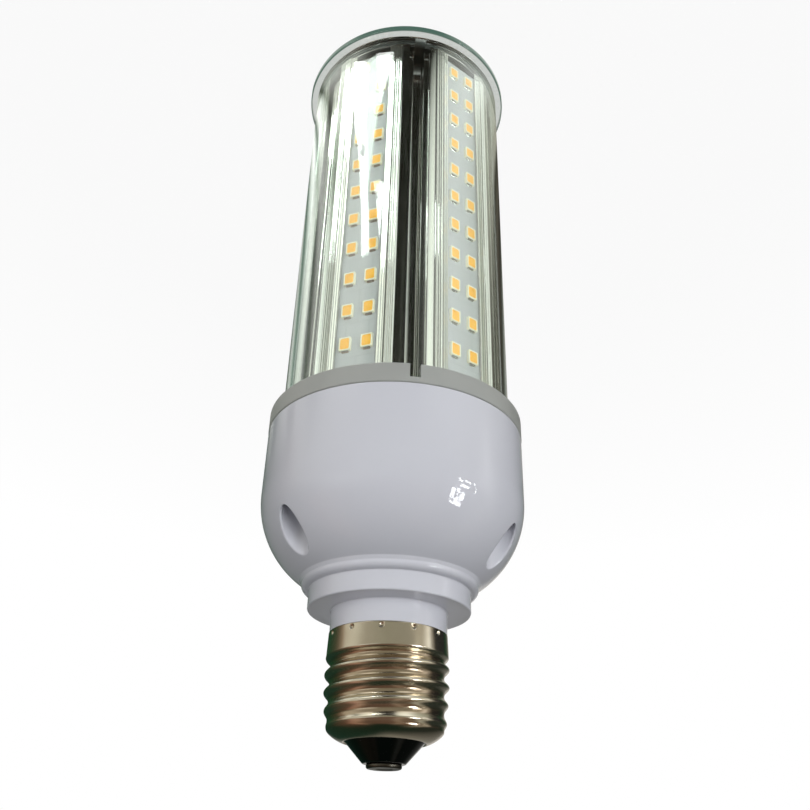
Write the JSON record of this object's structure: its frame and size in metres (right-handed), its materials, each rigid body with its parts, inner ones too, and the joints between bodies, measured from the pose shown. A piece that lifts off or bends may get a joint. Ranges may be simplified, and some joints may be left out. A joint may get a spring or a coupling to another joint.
{
  "type": "corn led bulb",
  "caption": "Corn-type LED lamp: flat LED boards on a finned extrusion under a clear tube, with a white driver housing and a screw cap.",
  "frame": {"origin": "Centre of the flat outer face of the clear lid at the head, on the bulb's axis.", "axes": "+Z runs along the axis from the head up to the cap's contact. -Y passes through the collar's notch and the groove between the first and the last LED board. +X is to the right when seen from -Y with the cap up."},
  "size_m": [0.0612, 0.0612, 0.191],
  "materials": {
    "clear_plastic": "clear, smooth",
    "extruded_aluminium": "plain extruded, satin",
    "grey_plastic": "satin grey moulding",
    "screw_steel": "zinc plated",
    "white_plastic": "glossy white moulding",
    "plated_metal": "bright nickel plate",
    "black_insulator": "glossy black",
    "contact_metal": "dull nickel plate",
    "driver_laminate": "green solder mask",
    "ferrite": "matt ferrite",
    "winding_tape": "yellow tape",
    "dark_sleeve": "black sleeve",
    "film_box": "moulded box",
    "chip_black": "moulded package",
    "resistor_body": "painted body",
    "lead_metal": "tinned lead",
    "white_board": "white mask on an aluminium board",
    "led_package": "cream frame with yellow filling"
  },
  "bodies": {
    "root": {"clear_lid": "clear_plastic", "clear_cover": "clear_plastic", "heat_sink": "extruded_aluminium", "collar_ring": "grey_plastic", "heat_sink_screws": "screw_steel", "driver_housing": "white_plastic", "housing_screws": "screw_steel", "screw_shell": "plated_metal", "cap_insulator": "black_insulator", "centre_contact": "contact_metal", "driver_board": "driver_laminate", "transformer_core": "ferrite", "transformer_winding": "winding_tape", "input_capacitor": "dark_sleeve", "output_capacitor": "dark_sleeve", "line_inductor": "dark_sleeve", "film_capacitor": "film_box", "bridge_rectifier": "chip_black", "fusible_resistor": "resistor_body", "switching_chip": "chip_black", "live_lead": "lead_metal", "neutral_lead": "lead_metal", "led_leads": "lead_metal", "board_links": "lead_metal", "led_board_1": "white_board", "led_packages_1": "led_package", "led_board_2": "white_board", "led_packages_2": "led_package", "led_board_3": "white_board", "led_packages_3": "led_package", "led_board_4": "white_board", "led_packages_4": "led_package", "led_board_5": "white_board", "led_packages_5": "led_package", "led_board_6": "white_board", "led_packages_6": "led_package"}
  },
  "joints": []
}
